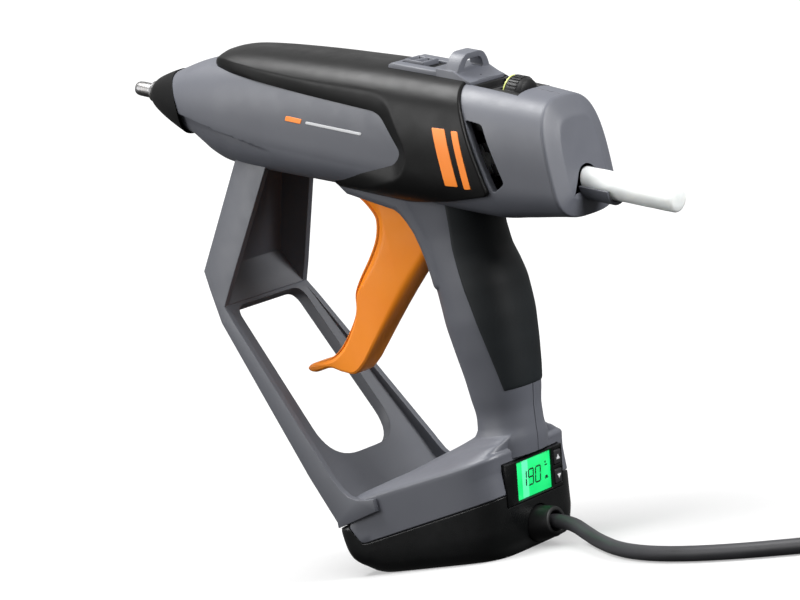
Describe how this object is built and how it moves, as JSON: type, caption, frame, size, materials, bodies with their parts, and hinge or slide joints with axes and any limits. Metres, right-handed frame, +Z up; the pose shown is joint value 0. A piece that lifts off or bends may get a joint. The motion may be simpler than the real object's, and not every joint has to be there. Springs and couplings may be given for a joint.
{
  "type": "hot-melt glue gun",
  "caption": "Mains hot-melt glue gun that stands on its display base, with a stand bracket, pull trigger, feed train, nozzle and coiled lead.",
  "frame": {"origin": "on the flat bottom of the base, in the middle plane, below the rear of the handle", "axes": "+X to the rear of the gun, where the glue stick and the lead leave; +Z up as the gun stands; the gun's left side is -Y"},
  "size_m": [0.42, 0.108, 0.2287],
  "materials": {
    "casing_grey": "fine spark-eroded texture",
    "cover_black": "satin moulded",
    "shield_black": "matt glass-filled",
    "inner_black": "moulded",
    "base_black": "semi-gloss moulded",
    "grip_rubber": "soft-touch overmould",
    "key_rubber": "matt keys",
    "trigger_orange": "satin moulded",
    "steel": "bright zinc plated",
    "nozzle_steel": "turned",
    "heater_aluminium": "die cast",
    "contact_brass": "nickel flashed",
    "glue_clear": "milky translucent",
    "sleeve_silicone": "moulded silicone",
    "lcd_green": "backlit display window",
    "circuit_board": "solder resist",
    "cord_black": "rubber sheath"
  },
  "bodies": {
    "casing": {"housing_left": "casing_grey", "housing_right": "casing_grey", "top_cover": "cover_black", "switch_tray": "casing_grey", "switch_block": "inner_black", "hanging_eye": "casing_grey", "wheel_cradle": "inner_black", "wheel_shaft": "steel", "vent_grille_left": "inner_black", "vent_grille_right": "inner_black", "soft_grip": "grip_rubber", "trigger_pin": "steel", "trigger_spring": "steel", "guide_rod_left": "steel", "guide_rod_right": "steel", "stick_guide": "glue_clear", "heater_block": "heater_aluminium", "heater_plate_left": "contact_brass", "heater_plate_right": "contact_brass", "inlet_sleeve": "sleeve_silicone", "sleeve_clip": "steel", "nozzle": "nozzle_steel", "nozzle_collar": "nozzle_steel", "nozzle_shield": "shield_black", "stand_bracket": "casing_grey", "base_shell": "base_black", "display_bezel": "base_black", "lcd_panel": "lcd_green", "display_board": "circuit_board", "control_board": "circuit_board", "cord_gland": "cord_black", "cord_clamp": "inner_black", "power_cord": "cord_black", "cord_tail": "cord_black", "cord_coil": "cord_black", "cord_tie": "inner_black", "plug_body": "cord_black", "plug_pin_left": "contact_brass", "plug_pin_right": "contact_brass", "casing_screw_1": "steel", "casing_screw_2": "steel", "casing_screw_3": "steel", "casing_screw_4": "steel", "casing_screw_5": "steel", "casing_screw_6": "steel", "casing_screw_7": "steel"},
    "trigger": {"trigger": "trigger_orange"},
    "carriage": {"feed_carriage": "inner_black", "stick_gripper": "steel"},
    "stick": {"glue_stick": "glue_clear"},
    "switch": {"power_switch": "casing_grey"},
    "wheel": {"flow_wheel": "inner_black"},
    "key_down": {"button_down": "key_rubber"},
    "key_up": {"button_up": "key_rubber"}
  },
  "joints": [
    {"name": "trigger_pull", "type": "hinge", "parent": "casing", "child": "trigger", "pos_m": [-0.03054, 0, 0.16525], "axis": [0, -1, 0], "range_deg": [0, 16], "stiffness_Nm_per_rad": 0.6, "springref_deg": -20.05},
    {"name": "carriage_feed", "type": "slide", "parent": "casing", "child": "carriage", "axis": [-0.9511, 0, 0.309], "range_m": [0, 0.0059]},
    {"name": "stick_feed", "type": "slide", "parent": "casing", "child": "stick", "axis": [-0.9511, 0, 0.309], "range_m": [0, 0.035]},
    {"name": "switch_slide", "type": "slide", "parent": "casing", "child": "switch", "axis": [0.9511, 0, -0.309], "range_m": [0, 0.005]},
    {"name": "wheel_turn", "type": "hinge", "parent": "casing", "child": "wheel", "pos_m": [0.051, 0, 0.18427], "axis": [0.9511, 0, -0.309], "range_deg": [-120, 120]},
    {"name": "key_down_press", "type": "slide", "parent": "casing", "child": "key_down", "axis": [-0.9767, 0, 0.2147], "range_m": [0, 0.0008], "stiffness_N_per_m": 400, "springref_m": -0.0005},
    {"name": "key_up_press", "type": "slide", "parent": "casing", "child": "key_up", "axis": [-0.9767, 0, 0.2147], "range_m": [0, 0.0008], "stiffness_N_per_m": 400, "springref_m": -0.0005}
  ],
  "couplings": [
    {"joint": "carriage_feed", "follows": "trigger_pull", "m_per_rad": 0.021}
  ]
}
